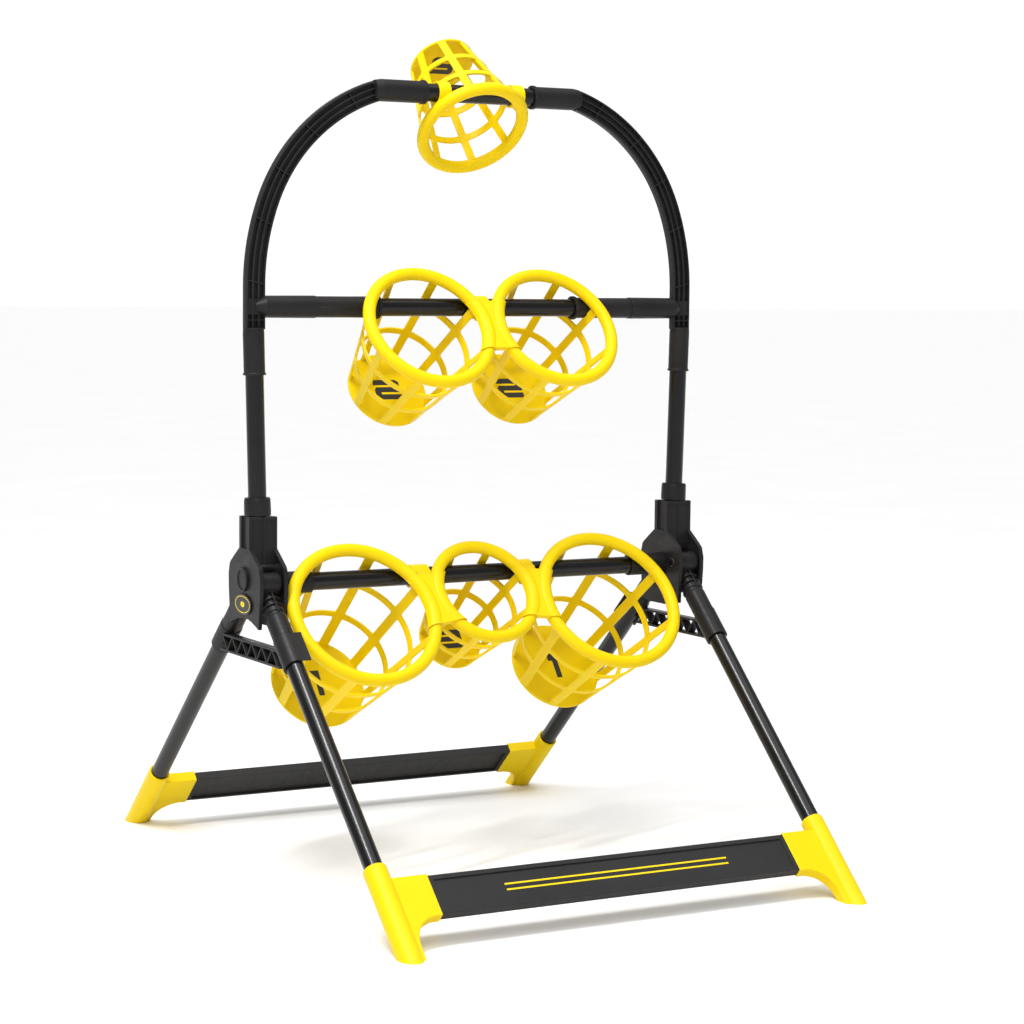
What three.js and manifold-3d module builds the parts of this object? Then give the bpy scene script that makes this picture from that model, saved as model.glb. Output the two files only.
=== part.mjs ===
// Bean bag basket tower: folding two-frame stand, arched top, three cross bars and six baskets.
// Units are millimetres. +X is the thrower's right, +Y is away from the thrower, +Z is up.
// X = 0 is the middle of the stand, Y = 0 is the plane of the arch and Z = 0 is the ground.
import * as THREE from 'three';
import { mergeVertices } from 'three/addons/utils/BufferGeometryUtils.js';
import Module from 'manifold-3d';

const wasm = await Module();
wasm.setup();

const RAD = Math.PI / 180;
const GAP = 0.3;

// Tubes
const barRadius = 11.1;
const barInner = 10.2;
const barBore = 11.6;
const tubeSides = 16;

// Levels and half widths of the stand
const hubX = 297;
const postLean = 1.45;
const legX = 297.5;
const zTop = 966;
const zMid = 702;
const zLow = 367;

// Arch mouldings
const archX = 302.7;
const archHalf = 13;
const arcs = [
  { until: 20, x: 2.7, z: 726, radius: 300 },
  { until: 90, x: 76, z: 752.7, radius: 222 },
];
const arcAngles = [0, 10, 20, 33, 46, 59, 72.5];
const ribAngles = [1, 15.2, 30.2, 46.5, 63.8];
const skin = 3;
const ribThickness = 2;
const archHalfDepth = 5.5;
const ribHalfDepth = 5;
const webHalf = 1;
const archFoot = 675;
const footSleeveRadius = 13.05;
const footSleeveEnd = 620;
const postTop = 665;
const stubRadius = 13.7;
const flangeRadius = 15;
const topStubEnd = 75.5;
const flangeLength = 4;
const teeSeam = 223;
const sleeveEnd = 138;
const sleeveRadius = 13;

// Hubs
const hubHalfX = 18.5;
const hubHalfY = 15.5;
const hubTop = 450;
const hubFloor = 392;
const cheek = 2.3;
const hubStubEnd = 228;
const pivotY = 30;
const pivotZ = 371;
const pinRadius = 4;

// Leg frames, in axes that run along the leg: x across, y to the rear and down, z up the leg
const legAngle = 47.06;
const legCrown = 382;
const footY = legCrown * Math.tan(legAngle * RAD);
const knuckleRadius = 16.5;
const knuckleHalf = 13;
const socketLow = 453.1;
const socketHigh = 499;
const socketRadius = 13.3;
const ringLow = 411;
const ringHigh = 452.8;
const ringRadius = 14.2;
const footTop = 120.4;
const footRadius = 14;
const beamLow = 49;
const beamHigh = 101;
const beamHalf = 6;
const beamEnd = 262;
const boxEnd = 241;

// Brace truss
const trussLow = 276;
const trussHigh = 298;
const trussOuter = 309.5;
const trussInner = 297.5;
const trussSpan = 110;
const trussBays = 11;
const trussPitch = 15;

// Baskets: rim radius, rim tube radius, depth, base radius, drop below the bar, rib width
const largeBasket = { rim: 92, tube: 8, depth: 172, base: 60, drop: 63, rib: 12.5 };
const middleBasket = { rim: 79.3, tube: 7.8, depth: 143, base: 51, drop: 45, rib: 10.5 };
const smallBasket = { rim: 65.7, tube: 7.8, depth: 120, base: 40, drop: 40.8, rib: 10 };
const topBasket = { ...smallBasket, drop: 38 };
const wall = 3;
const ringBand = 8.5;
const rimAhead = 22.2;
const topRimAhead = 19.5;
const midSpread = 88.4;
const lowSpread = 173.4;
const lowShift = -7;
const lowTilt = 37.5;
const midTilt = 35.2;
const topTilt = -44.9;

const colours = {
  yellow: 0xfbe000,
  black: 0x262526,
  tube: 0x141416,
  steel: 0x9a9ca0,
};

// --- solids -------------------------------------------------------------------------------------

function toSolid(geometry, matrix) {
  const bare = geometry.clone();
  bare.deleteAttribute('normal');
  bare.deleteAttribute('uv');
  if (matrix) bare.applyMatrix4(matrix);
  const merged = mergeVertices(bare, 1e-4);
  const index = merged.index.array;
  const faces = [];
  for (let i = 0; i < index.length; i += 3) {
    const [a, b, c] = [index[i], index[i + 1], index[i + 2]];
    if (a !== b && b !== c && c !== a) faces.push(a, b, c);
  }
  return new wasm.Manifold(new wasm.Mesh({
    numProp: 3,
    vertProperties: new Float32Array(merged.attributes.position.array),
    triVerts: new Uint32Array(faces),
  }));
}

function join(solids) {
  return solids.reduce((whole, next) => whole.add(next));
}

function cut(solid, tools) {
  return tools.reduce((whole, next) => whole.subtract(next), solid);
}

function rod(radius, from, to, sides = tubeSides, endRadius = radius) {
  const start = new THREE.Vector3(...from);
  const end = new THREE.Vector3(...to);
  const along = end.clone().sub(start);
  const geometry = new THREE.CylinderGeometry(endRadius, radius, along.length(), sides);
  const turn = new THREE.Quaternion().setFromUnitVectors(
    new THREE.Vector3(0, 1, 0), along.clone().normalize());
  const middle = start.add(end).multiplyScalar(0.5);
  return toSolid(geometry, new THREE.Matrix4().compose(middle, turn, new THREE.Vector3(1, 1, 1)));
}

function pipe(outer, inner, from, to, sides = tubeSides) {
  const start = new THREE.Vector3(...from);
  const end = new THREE.Vector3(...to);
  const over = end.clone().sub(start).normalize();
  const hole = rod(inner, start.clone().sub(over).toArray(), end.clone().add(over).toArray(), sides);
  return rod(outer, from, to, sides).subtract(hole);
}

function block(x, y, z, matrix) {
  const geometry = new THREE.BoxGeometry(
    Math.abs(x[1] - x[0]), Math.abs(y[1] - y[0]), Math.abs(z[1] - z[0]));
  geometry.translate((x[0] + x[1]) / 2, (y[0] + y[1]) / 2, (z[0] + z[1]) / 2);
  return toSolid(geometry, matrix);
}

function slab(points, depth, matrix) {
  const shape = new THREE.Shape(points.map(([a, b]) => new THREE.Vector2(a, b)));
  return toSolid(new THREE.ExtrudeGeometry(shape, { depth, bevelEnabled: false }), matrix);
}

// A slab drawn in Y and Z, from x = low to x = high
function slabYZ(points, low, high) {
  const matrix = new THREE.Matrix4().makeBasis(
    new THREE.Vector3(0, 1, 0), new THREE.Vector3(0, 0, 1), new THREE.Vector3(1, 0, 0));
  matrix.setPosition(low, 0, 0);
  return slab(points, high - low, matrix);
}

// A slab drawn in X and Z, centred on y = 0
function slabXZ(points, half) {
  const matrix = new THREE.Matrix4().makeBasis(
    new THREE.Vector3(1, 0, 0), new THREE.Vector3(0, 0, 1), new THREE.Vector3(0, -1, 0));
  matrix.setPosition(0, half, 0);
  return slab(points, 2 * half, matrix);
}

function add(name, solid, colour, parent) {
  const mesh = solid.getMesh();
  const geometry = new THREE.BufferGeometry();
  geometry.setAttribute('position', new THREE.BufferAttribute(new Float32Array(mesh.vertProperties), 3));
  geometry.setIndex(new THREE.BufferAttribute(new Uint32Array(mesh.triVerts), 1));
  geometry.computeVertexNormals();
  const node = new THREE.Mesh(geometry, new THREE.MeshStandardMaterial({ color: colour }));
  node.name = name;
  parent.add(node);
  return node;
}

const part = new THREE.Group();
part.name = 'basket_tower';
const sides = [['left', -1], ['right', 1]];

// --- arch, posts and bars -----------------------------------------------------------------------

// The point of the arch at an offset from its middle line, outwards, where the line has this angle
function arcPoint(side, offset, angle) {
  const arc = arcs.find((item) => angle <= item.until);
  const reach = arc.radius + offset;
  return [side * (arc.x + reach * Math.cos(angle * RAD)), arc.z + reach * Math.sin(angle * RAD)];
}

function arcBand(side, inner, outer, half) {
  const points = arcAngles.map((angle) => arcPoint(side, outer, angle));
  points.push(...[...arcAngles].reverse().map((angle) => arcPoint(side, inner, angle)));
  points.push([side * (archX + inner), archFoot], [side * (archX + outer), archFoot]);
  return slabXZ(points, half);
}

function crossRib(side, angle) {
  const half = ribThickness / 2;
  const [tx, tz] = [-Math.sin(angle * RAD) * side * half, Math.cos(angle * RAD) * half];
  const [ax, az] = arcPoint(side, 1 - archHalf, angle);
  const [bx, bz] = arcPoint(side, archHalf - 1, angle);
  return slabXZ([[ax - tx, az - tz], [bx - tx, bz - tz], [bx + tx, bz + tz], [ax + tx, az + tz]],
    ribHalfDepth);
}

// The posts lean out towards the top. This is the middle of a post at a level.
function postAt(side, level) {
  return [side * (hubX + (level - 421) * Math.tan(postLean * RAD)), 0, level];
}

function archSolid(side) {
  const third = 2 * archHalf / 3;
  const pieces = [
    arcBand(side, -archHalf, skin - archHalf, archHalfDepth),
    arcBand(side, archHalf - skin, archHalf, archHalfDepth),
    arcBand(side, 1 - archHalf, archHalf - 1, webHalf),
  ];
  for (const offset of [third - archHalf, archHalf - third]) {
    pieces.push(arcBand(side, offset - ribThickness / 2, offset + ribThickness / 2, ribHalfDepth));
  }
  for (const angle of ribAngles) pieces.push(crossRib(side, angle));
  pieces.push(
    block([side * (archX - 12), side * (archX + 12)], [-ribHalfDepth, ribHalfDepth],
      [archFoot, archFoot + 3]),
    block([side * (archX - 7), side * (archX + 12)], [-ribHalfDepth, ribHalfDepth], [zMid - 9, zMid + 9]),
    rod(stubRadius, [side * teeSeam, 0, zMid], [side * 291, 0, zMid]),
    rod(stubRadius, [side * 290.9, 0, zMid], [side * 304, 0, zMid], tubeSides, 5),
    rod(footSleeveRadius, postAt(side, footSleeveEnd), postAt(side, archFoot + 2)),
    rod(footSleeveRadius + 1, postAt(side, footSleeveEnd), postAt(side, footSleeveEnd + 2.6)),
    rod(stubRadius, [side * (topStubEnd + 1), 0, zTop], [side * 147, 0, zTop]),
    rod(flangeRadius, [side * topStubEnd, 0, zTop], [side * (topStubEnd + flangeLength), 0, zTop]),
  );
  return cut(join(pieces), [
    rod(barBore, [side * (teeSeam - 1), 0, zMid], [side * 275, 0, zMid]),
    rod(barBore, [side * (topStubEnd - 1), 0, zTop], [side * 128, 0, zTop]),
    rod(barBore, postAt(side, footSleeveEnd - 1), postAt(side, postTop + 2)),
  ]);
}

for (const [word, side] of sides) {
  add(`arch_${word}`, archSolid(side), colours.black, part);
  add(`post_${word}`, pipe(barRadius, barInner, postAt(side, 394), postAt(side, postTop)),
    colours.tube, part);
  add(`mid_sleeve_${word}`, join([
    pipe(sleeveRadius, barBore, [side * (sleeveEnd + 1), 0, zMid], [side * (teeSeam - GAP), 0, zMid]),
    pipe(flangeRadius, barBore, [side * sleeveEnd, 0, zMid], [side * (sleeveEnd + flangeLength), 0, zMid]),
  ]), colours.black, part);
  add(`hub_collar_${word}`, pipe(16.4, barBore, postAt(side, hubTop + 0.75), postAt(side, hubTop + 22.4)),
    colours.black, part);
}

for (const [word, half, level] of [['top', 124, zTop], ['mid', 270, zMid], ['low', 271, zLow]]) {
  add(`${word}_bar`, pipe(barRadius, barInner, [-half, 0, level], [half, 0, level]), colours.tube, part);
}

// --- hubs ---------------------------------------------------------------------------------------

function cheekOutline(outer) {
  const half = [[15.5, 411], [30, 401], [44, 391], [48, 378], [47.5, 360], [46, 345]];
  const arch = [[43, 317], [34, 320], [23, 323.6], [12, 326.2]];
  const skirt = [[45, 319], [26, 314]];
  const right = [...half, ...(outer ? arch : skirt)];
  const left = right.map(([y, z]) => [-y, z]).reverse();
  return [...right, ...left];
}

function hubHalf(side, outward) {
  const centre = side * hubX;
  const span = (near, far) => {
    const ends = [centre + outward * near, centre + outward * far];
    return ends.sort((a, b) => a - b);
  };
  const [low, high] = span(hubHalfX - cheek, hubHalfX);
  let solid = join([
    block(span(GAP / 2, hubHalfX), [-hubHalfY, hubHalfY], [hubFloor, hubTop]),
    slabYZ(cheekOutline(outward === side), low, high),
  ]);
  solid = cut(solid, [
    rod(barBore, postAt(side, hubFloor + 1.6), postAt(side, hubTop + 2)),
    rod(pinRadius + 0.4, [low - 1, -pivotY, pivotZ], [high + 1, -pivotY, pivotZ], 10),
    rod(pinRadius + 0.4, [low - 1, pivotY, pivotZ], [high + 1, pivotY, pivotZ], 10),
  ]);
  if (outward === side) {
    return solid.subtract(block(span(hubHalfX - 2.5, hubHalfX + 1), [-8, 8], [414, hubTop + 1]));
  }
  const inner = side * (hubX - hubHalfX);
  return cut(solid.add(rod(stubRadius, [side * hubStubEnd, 0, zLow], [inner + side * 1, 0, zLow])),
    [rod(barBore, [side * (hubStubEnd - 1), 0, zLow], [side * 274, 0, zLow])]);
}

for (const [word, side] of sides) {
  const face = side * (hubX + hubHalfX + GAP);
  add(`hub_outer_${word}`, hubHalf(side, side), colours.black, part);
  add(`hub_inner_${word}`, hubHalf(side, -side), colours.black, part);
  add(`hub_cap_${word}`, rod(15, [face, 0, 374], [face + side * 3.5, 0, 374], 24), colours.black, part);
  const badge = [];
  for (let i = 0; i < 24; i += 1) {
    const angle = i * 15 * RAD;
    badge.push([25 * Math.cos(angle), 343.5 + 13 * Math.sin(angle)]);
  }
  add(`hub_badge_${word}`, slabYZ(badge, Math.min(face, face + side * 2), Math.max(face, face + side * 2)),
    colours.black, part);
  for (const [place, y] of [['front', -pivotY], ['rear', pivotY]]) {
    const inner = side * (hubX - hubHalfX - GAP);
    add(`pivot_pin_${place}_${word}`, join([
      rod(pinRadius, [inner - side * 1, y, pivotZ], [side * (hubX + hubHalfX), y, pivotZ], 10),
      rod(6.5, [inner, y, pivotZ], [inner - side * 2, y, pivotZ], 10),
    ]), colours.steel, part);
  }
}

// --- leg frames ---------------------------------------------------------------------------------

const legFrame = new THREE.Matrix4().makeTranslation(0, -footY, 0)
  .multiply(new THREE.Matrix4().makeRotationX(-legAngle * RAD));
const halfTurn = new THREE.Matrix4().makeRotationZ(Math.PI);
const rearFrame = halfTurn.clone().multiply(legFrame);
const toLeg = legFrame.clone().invert();
const pivot = new THREE.Vector3(0, -pivotY, pivotZ).applyMatrix4(toLeg);

function socketSolid(side) {
  const x = side * legX;
  const pieces = [
    rod(knuckleRadius, [x - knuckleHalf, pivot.y, pivot.z], [x + knuckleHalf, pivot.y, pivot.z]),
    rod(11.5, [x, 0, socketHigh - 1], [x, 0, pivot.z + 2]),
    rod(socketRadius, [x, 0, socketLow], [x, 0, socketHigh]),
    block([x - 1.2, x + 1.2], [-13.4, 13.4], [socketHigh - 1, pivot.z - 8]),
  ];
  pieces.push(rod(13.6, [x, 0, 508], [x, 0, 512]));
  return cut(join(pieces), [
    rod(barBore, [x, 0, socketLow - 1], [x, 0, 495]),
    rod(pinRadius + 0.4, [x - 20, pivot.y, pivot.z], [x + 20, pivot.y, pivot.z], 10),
  ]);
}

function footSolid(side) {
  const x = side * legX;
  const gusset = [[247, 48], [262, 40], [272, 31], [280, 21], [286, 14], [286, 48]];
  const flat = new THREE.Matrix4().makeBasis(
    new THREE.Vector3(1, 0, 0), new THREE.Vector3(0, 0, 1), new THREE.Vector3(0, -1, 0));
  flat.setPosition(0, 5, 0);
  const ground = new THREE.Matrix4().makeTranslation(0, 0, -50);
  return cut(join([
    rod(footRadius, [x, 0, -40], [x, 0, footTop]),
    block([side * boxEnd, x], [-7.25, 7.25], [beamLow - 1.6, beamHigh + 1.6]),
    slab(gusset.map(([a, b]) => [side * a, b]), 10, flat),
  ]), [
    block([x - 200, x + 200], [-200, 200], [-50, 50], toLeg.clone().multiply(
      new THREE.Matrix4().makeTranslation(0, -footY, 0)).multiply(ground)),
    rod(barBore, [x, 0, 26], [x, 0, footTop + 1]),
    block([side * (boxEnd - 1), side * (beamEnd + 3)],
      [-beamHalf - GAP, beamHalf + GAP], [beamLow - GAP, beamHigh + GAP]),
  ]);
}

function beamSolid() {
  const panel = [beamLow + 4.5, beamHigh - 4.5];
  return cut(block([-beamEnd, beamEnd], [-beamHalf, beamHalf], [beamLow, beamHigh]), [
    block([-236, 236], [-beamHalf - 1, -beamHalf + 2.2], panel),
    block([-236, 236], [beamHalf - 2.2, beamHalf + 1], panel),
  ]);
}

for (const [place, turn] of [['front', 0], ['rear', Math.PI]]) {
  const turned = new THREE.Group();
  turned.rotation.z = turn;
  part.add(turned);
  const frame = new THREE.Group();
  frame.position.y = -footY;
  frame.rotation.x = -legAngle * RAD;
  turned.add(frame);
  for (const [word, side] of sides) {
    const local = turn ? -side : side;
    const x = local * legX;
    add(`${place}_socket_${word}`, socketSolid(local), colours.black, frame);
    add(`${place}_leg_${word}`, pipe(barRadius, barInner, [x, 0, 28], [x, 0, 492]), colours.tube, frame);
    add(`${place}_foot_${word}`, footSolid(local), colours.yellow, frame);
  }
  add(`${place}_base_bar`, beamSolid(), colours.black, frame);
}

// --- braces -------------------------------------------------------------------------------------

function placedRod(radius, low, high, matrix) {
  const geometry = new THREE.CylinderGeometry(radius, radius, high - low, tubeSides);
  geometry.rotateX(Math.PI / 2);
  geometry.translate(0, 0, (low + high) / 2);
  return toSolid(geometry, matrix);
}

// The left brace: a ring on the rear leg, an open truss, and a clip that snaps on the front leg
function braceSolid() {
  const front = legFrame.clone().multiply(new THREE.Matrix4().makeTranslation(-legX, 0, 0));
  const rear = rearFrame.clone().multiply(new THREE.Matrix4().makeTranslation(legX, 0, 0));
  const clip = [];
  for (let angle = 70; angle <= 250; angle += 15) {
    clip.push([ringRadius * Math.cos(angle * RAD), -ringRadius * Math.sin(angle * RAD)]);
  }
  for (let angle = 250; angle >= 70; angle -= 15) {
    clip.push([barBore * Math.cos(angle * RAD), -barBore * Math.sin(angle * RAD)]);
  }
  const lift = front.clone().multiply(new THREE.Matrix4().makeTranslation(0, 0, ringLow));
  const outer = [-trussOuter, -trussInner];
  let truss = join([
    block(outer, [-trussSpan, trussSpan], [trussLow, trussLow + 3]),
    block(outer, [-trussSpan, trussSpan], [trussHigh - 3, trussHigh]),
  ]);
  for (let i = 0; i < trussBays; i += 1) {
    const y = (i - trussBays / 2) * trussPitch;
    const up = i % 2 === 0;
    const [from, to] = up ? [trussLow + 1.5, trussHigh - 1.5] : [trussHigh - 1.5, trussLow + 1.5];
    truss = truss.add(slabYZ([
      [y - 1.6, from], [y + 1.6, from], [y + trussPitch + 1.6, to], [y + trussPitch - 1.6, to],
    ], -trussOuter + 0.5, -trussInner - 0.5));
  }
  truss = cut(truss, [
    placedRod(ringRadius - 0.4, ringLow - 80, ringHigh + 80, front),
    placedRod(ringRadius - 0.4, ringLow - 80, ringHigh + 80, rear),
    block([-400, -200], [90, 200], [200, 400], new THREE.Matrix4()),
    block([-400, -200], [-200, -90], [200, 400], new THREE.Matrix4()),
  ]);
  const ring = placedRod(ringRadius, ringLow, ringHigh, rear)
    .subtract(placedRod(barBore, ringLow - 1, ringHigh + 1, rear));
  return join([
    truss,
    ring,
    slab(clip, ringHigh - ringLow, lift),
    block([2, 17], [-14, -barBore], [ringLow, ringHigh], front),
  ]);
}

for (const [word, turn] of [['left', 0], ['right', Math.PI]]) {
  const holder = new THREE.Group();
  holder.rotation.z = turn;
  part.add(holder);
  add(`brace_${word}`, braceSolid(), colours.black, holder);
}

// --- baskets ------------------------------------------------------------------------------------

// A basket about its rim centre, opening towards +Z
function basketSolid(size) {
  const slope = Math.atan2(size.rim - size.base, size.depth);
  const length = Math.hypot(size.rim - size.base, size.depth);
  const pieces = [toSolid(new THREE.TorusGeometry(size.rim, size.tube, 6, 16))];
  for (let i = 0; i < 8; i += 1) {
    const rib = new THREE.BoxGeometry(wall - 0.4, size.rib, length);
    rib.rotateY(slope);
    rib.translate((size.rim + size.base) / 2, 0, -size.depth / 2);
    rib.rotateZ((22.5 + 45 * i) * RAD);
    pieces.push(toSolid(rib));
  }
  for (const share of [1 / 3, 2 / 3]) {
    const middle = size.rim - (size.rim - size.base) * share;
    const lean = Math.tan(slope) * ringBand / 2;
    const level = -size.depth * share;
    const profile = [
      [middle - lean - wall / 2, level - ringBand / 2],
      [middle - lean + wall / 2, level - ringBand / 2],
      [middle + lean + wall / 2, level + ringBand / 2],
      [middle + lean - wall / 2, level + ringBand / 2],
      [middle - lean - wall / 2, level - ringBand / 2],
    ].map(([a, b]) => new THREE.Vector2(a, b));
    const band = new THREE.LatheGeometry(profile, 16);
    band.rotateX(Math.PI / 2);
    pieces.push(toSolid(band));
  }
  pieces.push(rod(size.base + 2.5, [0, 0, -size.depth - 1.5], [0, 0, -size.depth + 2.5]));
  return join(pieces);
}

function shifted(solid, x, y, z) {
  return solid.translate([x, y, z]);
}

// Axes of a basket group: X along the bar, Y up in the rim plane, Z out of the openings
function basketGroup(level, tilt) {
  const group = new THREE.Group();
  group.position.z = level;
  group.rotation.x = (90 - tilt) * RAD;
  part.add(group);
  return group;
}

function rimTube(size, x, radius) {
  const torus = new THREE.TorusGeometry(size.rim, radius, 6, 16);
  torus.translate(x, -size.drop, rimAhead);
  return toSolid(torus);
}

// The clamp between two rims, split at the rim plane. The rear half also clips on the bar.
function bracketHalves(sizeA, xA, sizeB, xB, barX) {
  const a = new THREE.Vector2(xA, -sizeA.drop);
  const b = new THREE.Vector2(xB, -sizeB.drop);
  const along = b.clone().sub(a).normalize();
  const nearA = a.clone().addScaledVector(along, sizeA.rim);
  const nearB = b.clone().addScaledVector(along, -sizeB.rim);
  const centre = nearA.clone().add(nearB).multiplyScalar(0.5);
  const halfHeight = 35;
  const frame = new THREE.Matrix4().makeTranslation(centre.x, centre.y, rimAhead)
    .multiply(new THREE.Matrix4().makeRotationZ(Math.atan2(along.y, along.x)));
  const plug = (size, x, radius) => rod(radius,
    [x, -size.drop, rimAhead - 30], [x, -size.drop, rimAhead + 30], 32);
  const tubes = [
    rimTube(sizeA, xA, sizeA.tube + GAP + 0.15),
    rimTube(sizeB, xB, sizeB.tube + GAP + 0.15),
  ];
  const sleeves = join([rimTube(sizeA, xA, sizeA.tube + 2.2), rimTube(sizeB, xB, sizeB.tube + 2.2)]);
  const frontPlate = cut(block([-22, 22], [-halfHeight, halfHeight], [GAP / 2, 8], frame), [
    plug(sizeA, xA, sizeA.rim),
    plug(sizeB, xB, sizeB.rim),
  ]);
  const frontSleeves = sleeves.intersect(
    block([-60, 60], [-halfHeight, halfHeight], [GAP / 2, 11], frame));
  const front = cut(frontPlate.add(frontSleeves), tubes);
  const clip = join([
    rod(14.6, [barX - 12, 0, 0], [barX + 12, 0, 0]),
    block([barX - 10, barX + 10], [-22, -4], [2, rimAhead - 2]),
  ]);
  const rearPlate = cut(block([-22, 22], [-30, 30], [-6, -GAP / 2], frame), [
    plug(sizeA, xA, sizeA.rim + 2.2),
    plug(sizeB, xB, sizeB.rim + 2.2),
  ]);
  const behind = block([-400, 400], [-100, 100], [-60, rimAhead - GAP / 2]);
  const rear = cut(rearPlate.add(clip.intersect(behind)), [
    ...tubes,
    plug(sizeA, xA, sizeA.rim + 2.2),
    plug(sizeB, xB, sizeB.rim + 2.2),
    rod(barBore + 0.1, [barX - 40, 0, 0], [barX + 40, 0, 0]),
  ]);
  return [front, rear];
}

const topGroup = basketGroup(zTop, topTilt);
const eyes = join([-1, 1].map((side) => rod(14.5, [side * 44, 0, 0], [side * 60, 0, 0])));
add('basket_top', shifted(basketSolid(topBasket), 0, -topBasket.drop, topRimAhead).add(eyes)
  .subtract(rod(barBore + 0.1, [-120, 0, 0], [120, 0, 0])), colours.yellow, topGroup);

const midGroup = basketGroup(zMid, midTilt);
for (const [word, side] of sides) {
  const basket = shifted(basketSolid(middleBasket), side * midSpread, -middleBasket.drop, rimAhead);
  add(`basket_mid_${word}`,
    cut(basket, [
      rod(sleeveRadius + 0.5, [side * 130, 0, 0], [side * 200, 0, 0]),
      rod(barRadius + 0.9, [side * 5, 0, 0], [side * 132, 0, 0]),
    ]), colours.yellow, midGroup);
}
const midBracket = bracketHalves(middleBasket, -midSpread, middleBasket, midSpread, 0);
add('bracket_mid_front', midBracket[0], colours.yellow, midGroup);
add('bracket_mid_rear', midBracket[1], colours.yellow, midGroup);

const lowGroup = basketGroup(zLow, lowTilt);
const lowRow = [
  ['left', -lowSpread, largeBasket],
  ['mid', 0, smallBasket],
  ['right', lowSpread, largeBasket],
];
for (const [word, offset, size] of lowRow) {
  add(`basket_low_${word}`, shifted(basketSolid(size), lowShift + offset, -size.drop, rimAhead),
    colours.yellow, lowGroup);
}
for (const [word, first, side] of [['left', 0, -1], ['right', 1, 1]]) {
  const [, xA, sizeA] = lowRow[first];
  const [, xB, sizeB] = lowRow[first + 1];
  const halves = bracketHalves(sizeA, lowShift + xA, sizeB, lowShift + xB, lowShift + side * 74);
  add(`bracket_low_${word}_front`, halves[0], colours.yellow, lowGroup);
  add(`bracket_low_${word}_rear`, halves[1], colours.yellow, lowGroup);
}

export default part;
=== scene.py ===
import math

import bmesh
import bpy
from mathutils import Matrix, Vector


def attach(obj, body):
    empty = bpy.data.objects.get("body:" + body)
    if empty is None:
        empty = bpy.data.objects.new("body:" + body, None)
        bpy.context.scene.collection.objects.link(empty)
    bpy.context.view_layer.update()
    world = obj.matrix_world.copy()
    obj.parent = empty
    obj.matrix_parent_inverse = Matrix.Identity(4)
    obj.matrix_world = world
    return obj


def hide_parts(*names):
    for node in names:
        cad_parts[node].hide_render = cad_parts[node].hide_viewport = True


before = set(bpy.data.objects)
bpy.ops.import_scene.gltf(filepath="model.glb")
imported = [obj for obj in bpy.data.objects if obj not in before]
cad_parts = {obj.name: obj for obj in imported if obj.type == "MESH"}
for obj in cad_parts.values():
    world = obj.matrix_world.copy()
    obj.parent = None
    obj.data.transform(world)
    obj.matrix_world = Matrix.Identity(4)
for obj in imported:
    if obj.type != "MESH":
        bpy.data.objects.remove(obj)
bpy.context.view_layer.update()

# Lengths are millimetres in the CAD frame, and make() turns each piece into metres.
MM = 0.001
rad = math.radians

# Places of the hubs, legs and bars, and the radii of the tubes and of the bores they sit in.
HUB_X = 297.0
LEG_X = 297.5
Z_TOP = 966.0
Z_MID = 702.0
Z_LOW = 367.0
BAR_R = 11.1
BAR_IN = 10.2
BORE = 11.6

# The arch's middle line: straight, then two arcs given as (end angle, centre x, centre z, radius).
ARCH_X = 302.7
ARCS = ((20.0, 2.7, 726.0, 300.0), (90.0, 76.0, 752.7, 222.0))
ARCH_END = 72.5
ARCH_FOOT = 675.0
ARCH_SPAN = 12

# The posts lean out by this many degrees above the middle of the hub.
POST_LEAN = 1.45
POST_BASE = 421
POST_LOW = 394
POST_TOP = 665
ARCH_SLEEVE_LOW = 620
TEE_SEAM = 223
TOP_SOCKET = 75.5

# Hub: half thickness, bottom, top, inside of the cheeks, start of the low bar socket.
HUB_HALF = 18.5
HUB_FLOOR = 392
HUB_TOP = 450
CHEEK_INNER = 16.2
HUB_STUB = 228
PIN_BORE = 4.4
CAP_Z = 374
BADGE_Z = 343.5
BADGE_GAP = 0.3
SHARP_ANGLE = 32

# Each leg frame is drawn upright and then leaned by LEG_ANGLE about the ground.
LEG_ANGLE = 47.06
FOOT_Y = 382.0 * math.tan(rad(LEG_ANGLE))
PIVOT_Y = 30.0
PIVOT_Z = 371.0
LEG_LOW = 28
LEG_TOP = 492
BEAM_LOW = 49
BEAM_HIGH = 101
BEAM_HALF = 262
BEAM_WEB = 235
TRUSS_X = (-309.4, -297.6)
TRUSS_HALF = 89.5
TRUSS_STEP = 15
BRACE_RING_LOW = 411
BRACE_RING_HIGH = 452.8
BRACE_RING_R = 14.2

# Baskets, in axes with the bar at the origin and the mouth facing +Z. Their middle hangs drop below
# the bar, and a TILT is the angle of the mouth's axis above the horizontal.
RIM_AHEAD = 22.2
TOP_AHEAD = 19.5
LARGE = dict(rim=92.0, tube=8.0, depth=172.0, base=60.0, drop=63.0, rib=12.5)
MIDDLE = dict(rim=79.3, tube=7.8, depth=143.0, base=51.0, drop=45.0, rib=10.5)
SMALL = dict(rim=65.7, tube=7.8, depth=120.0, base=40.0, drop=40.8, rib=10.0)
TOP = dict(SMALL, drop=38.0)
TOP_TILT = -44.9
MID_TILT = 35.2
LOW_TILT = 37.5
MID_SPREAD = 88.4
LOW_SHIFT = -7.0
LOW_SPREAD = 173.4

# Axes for outlines drawn in the YZ and the XZ plane.
YZ = Matrix(((0, 0, 1, 0), (1, 0, 0, 0), (0, 1, 0, 0), (0, 0, 0, 1)))
XZ = Matrix(((1, 0, 0, 0), (0, 0, -1, 0), (0, 1, 0, 0), (0, 0, 0, 1)))


# ---------------------------------------------------------------- mesh tools

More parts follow.
